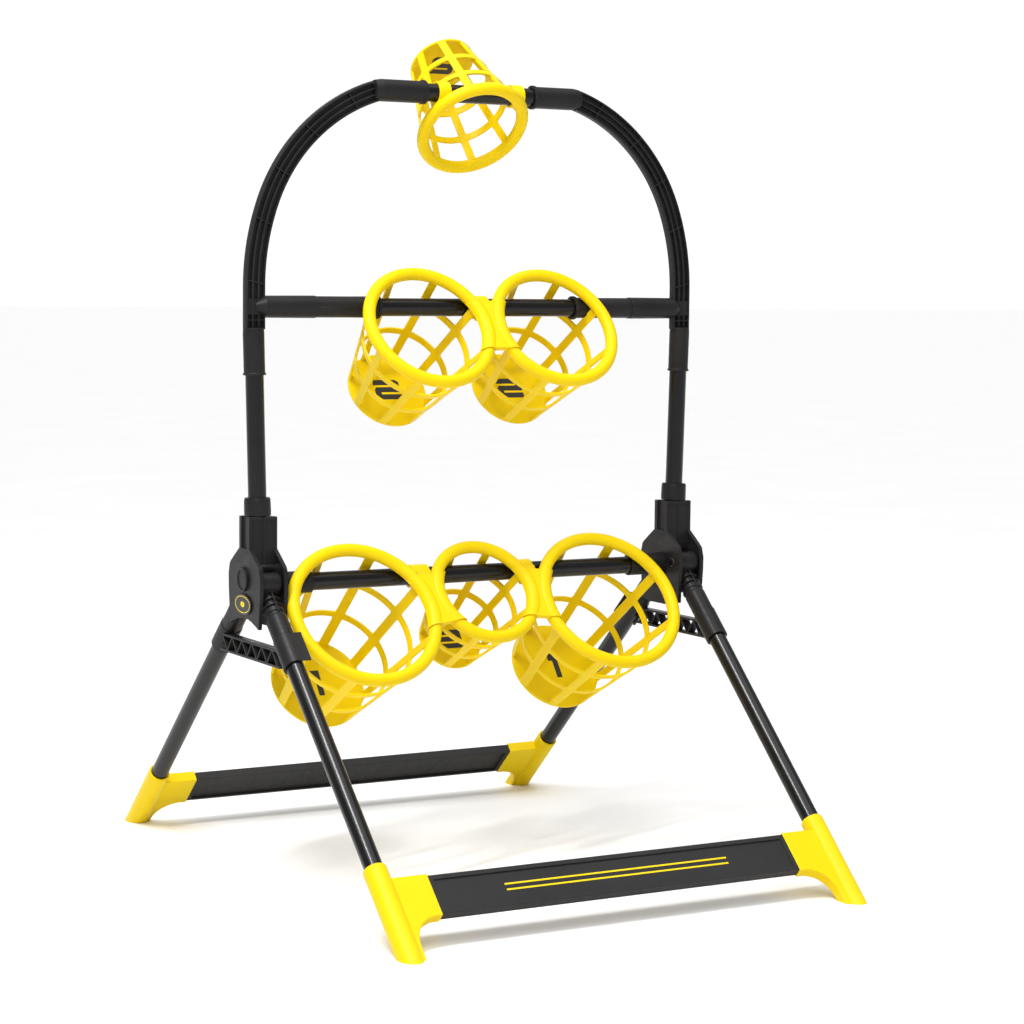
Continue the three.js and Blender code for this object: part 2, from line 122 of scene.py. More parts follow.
def soften(points, radius, steps=4, closed=True):
    """The outline with its corners rounded. radius is one number or one per corner."""
    count = len(points)
    radii = radius if isinstance(radius, (list, tuple)) else [radius] * count
    result = []
    for i, point in enumerate(points):
        p = Vector(point)
        if radii[i] <= 0 or (not closed and i in (0, count - 1)):
            result.append((p.x, p.y))
            continue
        before = Vector(points[i - 1]) - p
        after = Vector(points[(i + 1) % count]) - p
        if before.length < 1e-6 or after.length < 1e-6:
            result.append((p.x, p.y))
            continue
        angle = before.angle(after)
        if angle > rad(176):
            result.append((p.x, p.y))
            continue
        reach = min(radii[i] / math.tan(angle / 2), before.length * 0.45, after.length * 0.45)
        a = p + before.normalized() * reach
        b = p + after.normalized() * reach
        for k in range(steps + 1):
            t = k / steps
            q = a * (1 - t) ** 2 + p * (2 * t * (1 - t)) + b * t ** 2
            result.append((q.x, q.y))
    return result


def lathe(profile, steps=64, matrix=None):
    """A solid of revolution about local Z. The (radius, z) profile closes, or ends on the axis."""
    bm = bmesh.new()
    open_ended = profile[0][0] < 1e-6 and profile[-1][0] < 1e-6
    rings = []
    for i in range(steps):
        angle = 2 * math.pi * i / steps
        ring = []
        for j, (r, z) in enumerate(profile):
            if r < 1e-6 and i:
                ring.append(rings[0][j])
            else:
                ring.append(bm.verts.new((r * math.cos(angle), r * math.sin(angle), z)))
        rings.append(ring)
    count = len(profile)
    for i in range(steps):
        a, b = rings[i], rings[(i + 1) % steps]
        for j in range(count - 1 if open_ended else count):
            k = (j + 1) % count
            loop = []
            for v in (a[j], b[j], b[k], a[k]):
                if v not in loop:
                    loop.append(v)
            if len(loop) > 2:
                bm.faces.new(loop)
    return at(matrix, bm)


def at(matrix, bm):
    """The mesh moved by a matrix, if there is one, with every face turned outwards."""
    if matrix is not None:
        bmesh.ops.transform(bm, matrix=matrix, verts=bm.verts)
    bmesh.ops.recalc_face_normals(bm, faces=bm.faces)
    return bm


def prism(points, low, high, bevel=0.8, matrix=None, segments=2):
    """An outline in local XY drawn out from z = low to z = high, with rounded rims."""
    bm = bmesh.new()
    bottom = [bm.verts.new((x, y, low)) for x, y in points]
    top = [bm.verts.new((x, y, high)) for x, y in points]
    bm.faces.new(list(reversed(bottom)))
    bm.faces.new(top)
    count = len(points)
    for i in range(count):
        k = (i + 1) % count
        bm.faces.new((bottom[i], bottom[k], top[k], top[i]))
    bmesh.ops.recalc_face_normals(bm, faces=bm.faces)
    if bevel > 0:
        rims = [e for e in bm.edges if abs(e.verts[0].co.z - e.verts[1].co.z) < 1e-6]
        bmesh.ops.bevel(bm, geom=rims, offset=bevel, segments=segments, profile=0.5,
                        affect="EDGES", clamp_overlap=True)
    return at(matrix, bm)


def block(x, y, z, bevel=0.8, matrix=None, corner=None):
    outline = [(x[0], y[0]), (x[1], y[0]), (x[1], y[1]), (x[0], y[1])]
    corner = bevel if corner is None else corner
    if corner > 0:
        outline = soften(outline, corner, 3)
    return prism(outline, z[0], z[1], bevel, matrix)


def along(start, end):
    """The matrix that puts local Z along start to end, with start at the origin."""
    a, b = Vector(start), Vector(end)
    turn = (b - a).normalized().to_track_quat("Z", "Y").to_matrix().to_4x4()
    return Matrix.Translation(a) @ turn


def rod(radius, start, end, edge=0.6, steps=48):
    length = (Vector(end) - Vector(start)).length
    profile = soften([(0, 0), (radius, 0), (radius, length), (0, length)], edge, 3, closed=False)
    return lathe(profile, steps, along(start, end))


def pipe(outer, inner, start, end, edge=0.3, steps=64):
    length = (Vector(end) - Vector(start)).length
    profile = soften([(inner, 0), (outer, 0), (outer, length), (inner, length)], edge, 2)
    return lathe(profile, steps, along(start, end))


def turned(points, start, end, edge=0.5, steps=56, closed=True):
    """A lathe of (radius, distance) points along the line from start to end."""
    return lathe(soften(points, edge, 3, closed), steps, along(start, end))


def torus(radius, tube, steps, sides, matrix):
    profile = []
    for i in range(sides):
        angle = 2 * math.pi * i / sides
        profile.append((radius + tube * math.cos(angle), tube * math.sin(angle)))
    return lathe(profile, steps, matrix)


def sweep(stations, section):
    """Joins copies of a closed section, one per station. A station maps (u, v) to a point."""
    bm = bmesh.new()
    loops = [[bm.verts.new(station(u, v)) for u, v in section] for station in stations]
    count = len(section)
    for a, b in zip(loops, loops[1:]):
        for i in range(count):
            k = (i + 1) % count
            bm.faces.new((a[i], a[k], b[k], b[i]))
    bm.faces.new(loops[0])
    bm.faces.new(list(reversed(loops[-1])))
    return at(None, bm)


def as_object(bm, name="work"):
    mesh = bpy.data.meshes.new(name)
    bm.to_mesh(mesh)
    bm.free()
    obj = bpy.data.objects.new(name, mesh)
    bpy.context.scene.collection.objects.link(obj)
    return obj


def solid(base, adds=(), cuts=(), within=()):
    """base joined with adds, with cuts taken out of it, and kept inside within: one closed mesh."""
    target = as_object(base)
    helpers = []
    for operation, parts in (("UNION", adds), ("DIFFERENCE", cuts), ("INTERSECT", within)):
        for bm in parts:
            helper = as_object(bm)
            helpers.append(helper)
            modifier = target.modifiers.new("b", "BOOLEAN")
            modifier.operation = operation
            modifier.solver = "MANIFOLD"
            modifier.object = helper
    bpy.context.view_layer.update()
    depsgraph = bpy.context.evaluated_depsgraph_get()
    result = bmesh.new()
    result.from_mesh(target.evaluated_get(depsgraph).to_mesh())
    for obj in [target] + helpers:
        mesh = obj.data
        bpy.data.objects.remove(obj)
        bpy.data.meshes.remove(mesh)
    if not result.faces:
        raise RuntimeError("a boolean came out empty")
    return result


def make(name, bm, material, body, nodes=()):
    """Turns a bmesh in millimetres into a shown piece that rides on a body."""
    bmesh.ops.transform(bm, matrix=Matrix.Scale(MM, 4), verts=bm.verts)
    bmesh.ops.dissolve_degenerate(bm, edges=bm.edges, dist=1e-7)
    mesh = bpy.data.meshes.new(name)
    bm.to_mesh(mesh)
    bm.free()
    mesh.materials.append(material)
    mesh.shade_smooth()
    mesh.set_sharp_from_angle(angle=rad(SHARP_ANGLE))
    obj = bpy.data.objects.new(name, mesh)
    bpy.context.scene.collection.objects.link(obj)
    weighted = obj.modifiers.new("normals", "WEIGHTED_NORMAL")
    weighted.keep_sharp = True
    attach(obj, body)
    if nodes:
        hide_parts(*nodes)
    return obj


# ---------------------------------------------------------------- materials

class Shader:
    """A short way to lay out a node material."""

    def __init__(self, name):
        self.material = bpy.data.materials.new(name)
        self.material.use_nodes = True
        self.nodes = self.material.node_tree.nodes
        self.links = self.material.node_tree.links
        self.bsdf = self.nodes["Principled BSDF"]
        self.coords = self.nodes.new("ShaderNodeTexCoord").outputs["Object"]

    def value(self, socket, number):
        self.bsdf.inputs[socket].default_value = number

    def noise(self, scale, detail=4.0, rough=0.55, stretch=None):
        source = self.coords
        if stretch:
            mapping = self.nodes.new("ShaderNodeMapping")
            mapping.inputs["Scale"].default_value = stretch
            self.links.new(source, mapping.inputs["Vector"])
            source = mapping.outputs["Vector"]
        node = self.nodes.new("ShaderNodeTexNoise")
        node.inputs["Scale"].default_value = scale
        node.inputs["Detail"].default_value = detail
        node.inputs["Roughness"].default_value = rough
        self.links.new(source, node.inputs["Vector"])
        return node.outputs["Fac"]

    def spread(self, source, low, high, start=0.3, end=0.7):
        node = self.nodes.new("ShaderNodeMapRange")
        node.inputs["From Min"].default_value = start
        node.inputs["From Max"].default_value = end
        node.inputs["To Min"].default_value = low
        node.inputs["To Max"].default_value = high
        self.links.new(source, node.inputs["Value"])
        return node.outputs["Result"]

    def blend(self, factor, first, second):
        node = self.nodes.new("ShaderNodeMix")
        node.data_type = "RGBA"
        self.links.new(factor, node.inputs["Factor"])
        for socket, colour in ((node.inputs[6], first), (node.inputs[7], second)):
            if isinstance(colour, tuple):
                socket.default_value = (*colour, 1.0)
            else:
                self.links.new(colour, socket)
        return node.outputs[2]

    def edges(self, low, high):
        """1 on convex edges, 0 on flats."""
        geometry = self.nodes.new("ShaderNodeNewGeometry")
        return self.spread(geometry.outputs["Pointiness"], 0.0, 1.0, low, high)

    def product(self, a, b):
        node = self.nodes.new("ShaderNodeMath")
        node.operation = "MULTIPLY"
        self.links.new(a, node.inputs[0])
        self.links.new(b, node.inputs[1])
        return node.outputs["Value"]

    def link(self, source, socket):
        self.links.new(source, self.bsdf.inputs[socket])

    def bumps(self, *layers):
        """layers are (height, strength, distance in metres)."""
        normal = None
        for height, strength, distance in layers:
            node = self.nodes.new("ShaderNodeBump")
            node.inputs["Strength"].default_value = strength
            node.inputs["Distance"].default_value = distance
            self.links.new(height, node.inputs["Height"])
            if normal is not None:
                self.links.new(normal, node.inputs["Normal"])
            normal = node.outputs["Normal"]
        self.links.new(normal, self.bsdf.inputs["Normal"])


def yellow_plastic():
    s = Shader("yellow_moulded_plastic")
    cloudy = s.noise(9, 3)
    fine = s.noise(420, 5, 0.6)
    grain = s.noise(1500, 2)
    colour = s.blend(s.spread(cloudy, 0, 1), (0.76, 0.54, 0.0), (0.79, 0.565, 0.0005))
    # Convex edges are paler: partly edge wear, partly a painted highlight along rims and ribs.
    wear_and_edge_highlight = s.product(s.edges(0.52, 0.6), s.spread(fine, 0, 0.35))
    s.link(s.blend(wear_and_edge_highlight, colour, (0.78, 0.67, 0.05)), "Base Color")
    s.link(s.spread(fine, 0.34, 0.46), "Roughness")
    s.value("Subsurface Weight", 0.12)
    s.value("Subsurface Radius", (1.0, 0.6, 0.1))
    s.value("Subsurface Scale", 0.004)
    s.value("Specular IOR Level", 0.15)
    s.bumps((grain, 0.08, 0.00006), (fine, 0.06, 0.0001))
    return s.material


def black_plastic():
    s = Shader("black_moulded_plastic")
    cloudy = s.noise(14, 3)
    grain = s.noise(1300, 3, 0.6)
    scuff = s.noise(60, 8, 0.7, (1, 1, 6))
    colour = s.blend(s.spread(cloudy, 0, 1), (0.012, 0.0112, 0.0115), (0.018, 0.0168, 0.0173))
    # Convex edges turn grey: partly scuffed wear, partly a painted highlight standing in for lit
    # rib edges.
    wear_and_edge_highlight = s.product(s.edges(0.53, 0.62), s.spread(scuff, 0.1, 0.6))
    s.link(s.blend(wear_and_edge_highlight, colour, (0.05, 0.047, 0.047)), "Base Color")
    s.link(s.spread(scuff, 0.3, 0.44), "Roughness")
    s.value("Specular IOR Level", 0.15)
    s.bumps((grain, 0.2, 0.00006), (scuff, 0.05, 0.0001))
    return s.material


def black_paint():
    s = Shader("black_gloss_tube")
    peel = s.noise(160, 3, 0.5)
    streak = s.noise(40, 6, 0.6)
    colour = s.blend(s.spread(streak, 0, 1), (0.0028, 0.0026, 0.0028), (0.005, 0.0046, 0.0049))
    s.link(colour, "Base Color")
    s.link(s.spread(streak, 0.21, 0.26), "Roughness")
    s.value("Specular IOR Level", 0.3)
    s.value("Coat Weight", 0.06)
    s.value("Coat Roughness", 0.12)
    s.bumps((peel, 0.015, 0.00003))
    return s.material


def zinc_steel():
    s = Shader("zinc_steel")
    brushed = s.noise(300, 6, 0.7, (8, 1, 1))
    colour = s.blend(s.spread(brushed, 0, 1), (0.05, 0.05, 0.052), (0.10, 0.10, 0.105))
    s.link(colour, "Base Color")
    s.value("Metallic", 1.0)
    s.link(s.spread(brushed, 0.25, 0.45), "Roughness")
    s.bumps((brushed, 0.15, 0.00004))
    return s.material


def number_ink():
    s = Shader("black_print_ink")
    speck = s.noise(900, 4, 0.6)
    colour = s.blend(s.spread(speck, 0, 1), (0.008, 0.008, 0.008), (0.02, 0.019, 0.017))
    s.link(colour, "Base Color")
    s.link(s.spread(speck, 0.45, 0.6), "Roughness")
    s.bumps((speck, 0.1, 0.00003))
    return s.material


def panel_plastic():
    s = Shader("panel_plastic")
    grain = s.noise(900, 3, 0.6)
    scuff = s.noise(30, 8, 0.7, (6, 1, 1))
    cloudy = s.noise(7, 3)
    colour = s.blend(s.spread(cloudy, 0, 1), (0.010, 0.0097, 0.0100), (0.016, 0.0154, 0.0158))
    s.link(colour, "Base Color")
    s.link(s.spread(scuff, 0.4, 0.56), "Roughness")
    s.value("Specular IOR Level", 0.3)
    s.bumps((grain, 0.25, 0.00008), (scuff, 0.06, 0.0001))
    return s.material


YELLOW = yellow_plastic()
BLACK = black_plastic()
TUBE = black_paint()
STEEL = zinc_steel()
INK = number_ink()
PANEL = panel_plastic()


# ---------------------------------------------------------------- arch, posts, bars

def arch_section():
    """The I-shaped moulding with three channels front and back, as (offset, y) points."""
    outer = [(11.6, -5.45), (12.5, -4.9), (12.95, -3.4), (12.95, 3.4), (12.5, 4.9), (11.6, 5.45)]
    inner = [(-12.5, 4.9), (-12.95, 3.4), (-12.95, -3.4), (-12.5, -4.9)]
    front = []
    for low, high in ((-10.4, -4.67), (-2.87, 2.87), (4.67, 10.4)):
        near = 5.45 if low < -10 else 5.0
        far = 5.45 if high > 10 else 5.0
        front += [(low, -near), (low + 0.3, -0.9), (high - 0.3, -0.9), (high, -far)]
    back = [(u, -v) for u, v in reversed(front)]
    return [(-11.6, -5.45)] + front + outer + back + [(-11.6, 5.45)] + inner


def arch_point(side, offset, angle):
    """The point at an offset outwards from the arch's middle line, where it has this angle."""
    x, z, radius = next(arc[1:] for arc in ARCS if angle <= arc[0])
    reach = radius + offset
    return (side * (x + reach * math.cos(rad(angle))), z + reach * math.sin(rad(angle)))


def arch_stations(side):
    """The places of the arch's section, from its foot up and over to the top bar's socket."""
    def straight(z):
        return lambda u, v: (side * (ARCH_X + u), v, z)

    def curved(angle):
        def place(u, v):
            x, z = arch_point(side, u, angle)
            return (x, v, z)
        return place

    bend = ARCS[0][0]
    stations = [straight(z) for z in (ARCH_FOOT, 685, 702, 714)]
    stations += [curved(bend * i / 12) for i in range(12)]
    return stations + [curved(bend + (ARCH_END - bend) * i / 34) for i in range(35)]


ARCH_WALL_THICK = 1.7


def cross_wall(start, end):
    """A thin wall across the arch's channels between two (x, z) points."""
    inner, outer = Vector(start), Vector(end)
    run = (outer - inner).normalized() * ARCH_WALL_THICK / 2
    shift = Vector((-run.y, run.x))
    corners = [inner + shift, inner - shift, outer - shift, outer + shift]
    if inner[0] > outer[0]:
        corners.reverse()
    return prism([tuple(c) for c in corners], -4.8, 4.8, 0.25, XZ)


def post_at(side, level):
    """The middle of a post at a level. The posts lean out towards the top."""
    return (side * (HUB_X + (level - POST_BASE) * math.tan(rad(POST_LEAN))), 0, level)


# The cross walls, as the angle at the inner and at the outer side of the arch.
ARCH_WALLS = ((0.6, 1.5), (14.8, 15.6), (30.3, 30.1), (47.0, 46.0), (64.3, 63.3))


def arch(side):
    """One arch moulding: section, cross walls, tee, post sleeve and top socket."""
    parts = []
    for near, far in ARCH_WALLS:
        parts.append(cross_wall(arch_point(side, -ARCH_SPAN, near),
                                arch_point(side, ARCH_SPAN, far)))
    for level in (ARCH_FOOT + 1.2, 686):
        parts.append(cross_wall((side * (ARCH_X - ARCH_SPAN), level),
                                (side * (ARCH_X + ARCH_SPAN), level)))
    tee = [(0, 0), (13.7, 0), (13.7, 12), (13.4, 63), (13.2, 68), (5.5, 79.5), (0, 79.5)]
    parts.append(turned(tee, (side * TEE_SEAM, 0, Z_MID), (side * 302.5, 0, Z_MID), 0.5,
                        closed=False))
    parts.append(block(sorted((side * (ARCH_X - 7), side * (ARCH_X + 11.8))), (-4.6, 4.6),
                       (Z_MID - 9.5, Z_MID + 9.5), 0.5, None, 2.0))
    sleeve = [(0, 0), (14.0, 0), (14.0, 2.3), (12.9, 3.2), (13.0, 50), (12.6, 56.4), (0, 57)]
    parts.append(turned(sleeve, post_at(side, ARCH_SLEEVE_LOW), post_at(side, ARCH_FOOT + 2), 0.6,
                        closed=False))
    top_socket = [(0, 0), (15, 0), (15, 4), (13.7, 4.4), (13.7, 60), (12.2, 69), (0, 69)]
    parts.append(turned(top_socket, (side * TOP_SOCKET, 0, Z_TOP), (side * 145, 0, Z_TOP), 0.5,
                        closed=False))
    bores = [
        rod(BORE, (side * (TEE_SEAM - 2), 0, Z_MID), (side * 275, 0, Z_MID), 0),
        rod(BORE, (side * (TOP_SOCKET - 1.5), 0, Z_TOP), (side * 128, 0, Z_TOP), 0),
        rod(BORE, post_at(side, ARCH_SLEEVE_LOW - 2), post_at(side, POST_TOP + 2), 0),
    ]
    return solid(sweep(arch_stations(side), arch_section()), parts, bores)


for word, side in (("left", -1), ("right", 1)):
    make(f"arch_moulding_{word}", arch(side), BLACK, "tower", [f"arch_{word}"])
    make(f"post_tube_{word}", pipe(BAR_R, BAR_IN, post_at(side, POST_LOW), post_at(side, POST_TOP)),
         TUBE, "tower", [f"post_{word}"])
    sleeve = [(BORE, 0), (15, 0), (15, 3.6), (13.2, 4.6), (12.95, 44), (13, 84.7), (BORE, 84.7)]
    make(f"bar_sleeve_{word}",
         turned(sleeve, (side * 138, 0, Z_MID), (side * (TEE_SEAM - 0.3), 0, Z_MID)),
         BLACK, "tower", [f"mid_sleeve_{word}"])
    collar = [(BORE, 0), (16.2, 0), (16.35, 5), (16.1, 18), (15.3, 21.5), (BORE, 21.5)]
    make(f"post_collar_{word}",
         turned(collar, post_at(side, HUB_TOP + 0.8), post_at(side, HUB_TOP + 22.3), 0.8),
         BLACK, "tower", [f"hub_collar_{word}"])

for name, half, level in (("top", 124, Z_TOP), ("mid", 270, Z_MID), ("low", 271, Z_LOW)):
    make(f"{name}_bar_tube", pipe(BAR_R, BAR_IN, (-half, 0, level), (half, 0, level)),
         TUBE, "tower", [f"{name}_bar"])


# ---------------------------------------------------------------- hubs

def cheek_half(outer):
    """The right edge of a cheek from the top down, as (y, z) points."""
    foot = (43, 317) if outer else (45, 319)
    return [(15.5, 411), (30, 401), (44, 391), (48, 378), (47.5, 360), (46, 345), foot]


def cheek_outline(outer):
    """The outer cheek ends in an arched notch, the inner one in a deeper flat skirt."""
    bottom = [(34, 320), (23, 323.6), (12, 326.2)] if outer else [(26, 314)]
    right = cheek_half(outer) + bottom
    outline = [(-y, z) for y, z in right] + [(y, z) for y, z in reversed(right)]
    radii = [2, 9, 9, 9, 30, 30, 3, 9, 9, 9][:len(right)]
    return soften(outline, radii + list(reversed(radii)), 5)


def lip_outline(hand, outer):
    """The raised edge down the front or back of a cheek."""
    edge = cheek_half(outer)
    inner = [(y - 3.4, z - (1.5 if z > 380 else 0)) for y, z in reversed(edge)]
    points = soften([(hand * y, z) for y, z in edge + inner],
                    [1, 9, 9, 9, 30, 30, 1, 1, 30, 30, 8, 8, 8, 1], 4)
    return points if hand > 0 else list(reversed(points))


def hub_half(side, outward):
    """One shell of a hub. outward is the X direction its cheek faces."""
    centre = side * HUB_X
    outer = outward == side

    def span(near, far):
        return sorted((centre + outward * near, centre + outward * far))

    low, high = span(CHEEK_INNER, HUB_HALF)
    lip_low, lip_high = span(13.6, HUB_HALF)
    column = [(-15.5, HUB_FLOOR), (15.5, HUB_FLOOR), (15.5, HUB_TOP), (-15.5, HUB_TOP)]
    body = prism(soften(column, 1.2, 3), *span(0.15, HUB_HALF), 0.7, YZ)
    adds = [
        prism(cheek_outline(outer), low, high, 0.5, YZ),
        prism(lip_outline(1, outer), lip_low, lip_high, 0.6, YZ),
        prism(lip_outline(-1, outer), lip_low, lip_high, 0.6, YZ),
    ]
    cuts = [rod(BORE, post_at(side, HUB_FLOOR + 1.6), post_at(side, HUB_TOP + 2), 0)]
    hole = span(15.0, 17.3 if outer else 19.5)
    for y in (-PIVOT_Y, PIVOT_Y):
        cuts.append(rod(PIN_BORE, (hole[0], y, PIVOT_Z), (hole[1], y, PIVOT_Z), 0, 32))
        if not outer:
            adds.append(rod(8.4, (low, y, PIVOT_Z), (high, y, PIVOT_Z), 0.5))
    for y in ((-17, -14.4), (14.4, 17)):
        cuts.append(block(span(2.2, 14.6), y, (397, 446), 0.4, None, 0.8))
    cuts.append(block(span(15.9, 19.5), (-8.5, 8.5), (411, 452), 0.4, None, 0.8))
    if not outer:
        stub = [(0, 0), (13.7, 0), (13.7, 30), (14.8, 52), (0, 53)]
        adds.append(turned(stub, (side * HUB_STUB, 0, Z_LOW), (side * 280.5, 0, Z_LOW), 0.6,
                           closed=False))
        cuts.append(rod(BORE, (side * (HUB_STUB - 1), 0, Z_LOW), (side * 274, 0, Z_LOW), 0))
    return solid(body, adds, cuts)


def ellipse(wide, tall, count=72):
    """An oval outline about the middle of the badge, as (y, z) points."""
    turns = [rad(i * 360 / count) for i in range(count)]
    return [(wide * math.cos(t), BADGE_Z + tall * math.sin(t)) for t in turns]


for word, side in (("left", -1), ("right", 1)):
    make(f"hub_shell_outer_{word}", hub_half(side, side), BLACK, "tower",
         [f"hub_outer_{word}"])
    make(f"hub_shell_inner_{word}", hub_half(side, -side), BLACK, "tower",
         [f"hub_inner_{word}"])
    face = side * (HUB_X + HUB_HALF + BADGE_GAP)
    cap = [(0, 0), (14.9, 0), (14.9, 3.0), (13.3, 3.4), (12.2, 2.6), (11.6, 1.9), (0, 2.2)]
    make(f"hub_round_cap_{word}",
         turned(cap, (face, 0, CAP_Z), (face + side * 3.5, 0, CAP_Z), 0.4, closed=False),
         BLACK, "tower", [f"hub_cap_{word}"])
    ends = sorted((face, face + side * 1.9))
    make(f"hub_badge_plate_{word}", prism(ellipse(24.9, 12.9), *ends, 0.5, YZ), TUBE,
         "tower", [f"hub_badge_{word}"])
    skin = sorted((face + side * 1.6, face + side * 1.98))
    ring = solid(prism(ellipse(22.0, 10.4), *skin, 0, YZ),
                 cuts=[prism(ellipse(20.8, 9.4), skin[0] - 1, skin[1] + 1, 0, YZ)])
    make(f"badge_ring_{word}", ring, YELLOW, "tower")
    make(f"badge_dot_{word}", prism(ellipse(6.0, 3.4, 36), *skin, 0, YZ), YELLOW,
         "tower")
    for place, y in (("front", -PIVOT_Y), ("rear", PIVOT_Y)):
        inner_x = side * (HUB_X - HUB_HALF - BADGE_GAP)
        pin = turned([(0, 0), (4.0, 0), (4.0, 35.9), (0, 35.9)], (inner_x - side * 0.2, y, PIVOT_Z),
                     (side * (HUB_X + 17.0), y, PIVOT_Z), 0.4, closed=False)
        head = turned([(0, 0), (6.4, 0), (6.2, 1.2), (4.6, 1.9), (0, 1.9)], (inner_x, y, PIVOT_Z),
                      (inner_x - side * 2, y, PIVOT_Z), 0.4, closed=False)
        slots = [block(sorted((inner_x - side * 1.1, inner_x - side * 3)), *cross, 0, None, 0)
                 for cross in (((y - 3.2, y + 3.2), (PIVOT_Z - 0.55, PIVOT_Z + 0.55)),
                               ((y - 0.55, y + 0.55), (PIVOT_Z - 3.2, PIVOT_Z + 3.2)))]
        make(f"pivot_screw_{place}_{word}", solid(pin, [head], slots), STEEL, "tower",
             [f"pivot_pin_{place}_{word}"])


# ---------------------------------------------------------------- leg frames

FRONT = Matrix.Translation((0, -FOOT_Y, 0)) @ Matrix.Rotation(-rad(LEG_ANGLE), 4, "X")
REAR = Matrix.Rotation(math.pi, 4, "Z") @ FRONT
PIVOT = FRONT.inverted() @ Vector((0, -PIVOT_Y, PIVOT_Z))
GROUND = FRONT.inverted()


def leg_lathe(profile, x, edge=0.5, steps=64, closed=True):
    return lathe(soften(profile, edge, 3, closed), steps, Matrix.Translation((x, 0, 0)))


def socket(x):
    """A leg's upper socket: the round knuckle on the pivot pin, four rings and the sleeve."""
    knuckle = [(0, -13), (12.6, -13), (13.3, -11), (13.3, 11), (12.6, 13), (0, 13)]
    body = turned([(r, h + 13) for r, h in knuckle], (x - 13, PIVOT.y, PIVOT.z),
                  (x + 13, PIVOT.y, PIVOT.z), 0.6, closed=False)
    neck = [(0, 486), (12.3, 486), (12.3, 490), (13.9, 490.3), (13.9, 491.9), (12.3, 492.2),
            (12.3, 497)]
    for level in (499.0, 508.0, 517.0):
        neck += [(10.2, level), (13.9, level + 0.3), (13.9, level + 1.9), (10.2, level + 2.2)]
    neck += [(10.4, 531), (0, 531)]
    sleeve = [(0, 453.1), (13.3, 453.1), (13.3, 483.5), (12.6, 486.5), (0, 486.5)]
    return solid(body, [
        leg_lathe(neck, x, 0.3, closed=False),
        leg_lathe(sleeve, x, 0.6, closed=False),
        block((x - 0.9, x + 0.9), (-13.9, 13.9), (488, 524), 0.3),
    ], [
        rod(BORE, (x, 0, 452), (x, 0, 495), 0),
        rod(PIN_BORE, (x - 20, PIVOT.y, PIVOT.z), (x + 20, PIVOT.y, PIVOT.z), 0, 32),
    ])


def foot(x, side):
    """A foot: the sleeve of the leg and the curved arm that holds the end of the beam."""
    curve = [(242.0, 47.8)]
    for i in range(13):
        t = i / 12
        p = (1 - t) ** 2 * Vector((246.5, 47.6)) + 2 * t * (1 - t) * Vector((277, 45)) \
            + t * t * Vector((280.6, 14))
        curve.append((p.x, p.y))
    curve += [(281.5, -20), (290, -20), (290, 60), (242.0, 60)]
    points = [(side * a, b) for a, b in curve]
    if side < 0:
        points.reverse()
    body = leg_lathe([(0, -45), (14, -45), (14, 118), (13.2, 120.3), (0, 120.3)], x, 0.5, 64, False)
    box = block(sorted((side * 241, x)), (-7.2, 7.2), (47.4, 102.6), 1.6, None, 1.2)
    return solid(body, [box, prism(points, -7.2, 7.2, 1.6, XZ, 3)], [
        block((x - 200, x + 200), (-100, 100), (-100, 0), 0,
              GROUND @ Matrix.Translation((0, -FOOT_Y, 0)), 0),
        rod(BORE, (x, 0, 26), (x, 0, 122), 0),
        block(sorted((side * 240, side * 265)), (-6.3, 6.3), (48.7, 101.3), 0, None, 0),
    ])


def beam():
    """The flat bar between two feet, with a shallow panel in each face."""
    body = block((-BEAM_HALF, BEAM_HALF), (-6, 6), (BEAM_LOW, BEAM_HIGH), 1.0, None, 1.0)
    return solid(body, cuts=[
        block((-BEAM_WEB, BEAM_WEB), (-8, -4.3), (55.0, 95.0), 0.5, None, 0.8),
        block((-BEAM_WEB, BEAM_WEB), (3.4, 8), (53.0, 97.0), 0.5, None, 0.8),
    ])


for place, turn in (("front", FRONT), ("rear", REAR)):
    body = f"{place}_leg_frame"
    for word, side in (("left", -1), ("right", 1)):
        local = side if place == "front" else -side
        x = local * LEG_X
        make(f"{place}_leg_socket_{word}", at(turn, socket(x)), BLACK, body,
             [f"{place}_socket_{word}"])
        tube = pipe(BAR_R, BAR_IN, (x, 0, LEG_LOW), (x, 0, LEG_TOP))
        make(f"{place}_leg_tube_{word}", at(turn, tube), TUBE, body,
             [f"{place}_leg_{word}"])
        make(f"{place}_foot_moulding_{word}", at(turn, foot(x, local)), YELLOW,
             body, [f"{place}_foot_{word}"])
    make(f"{place}_base_beam", at(turn, beam()), PANEL, body,
         [f"{place}_base_bar"])
    for hand, level in (("upper", 71.2), ("lower", 78.8)):
        stripe = block((-150, 150), (-4.6, -4.1), (level - 1.1, level + 1.1), 0, None, 0)
        make(f"{place}_beam_stripe_{hand}", at(turn, stripe), YELLOW, body)


# ---------------------------------------------------------------- braces

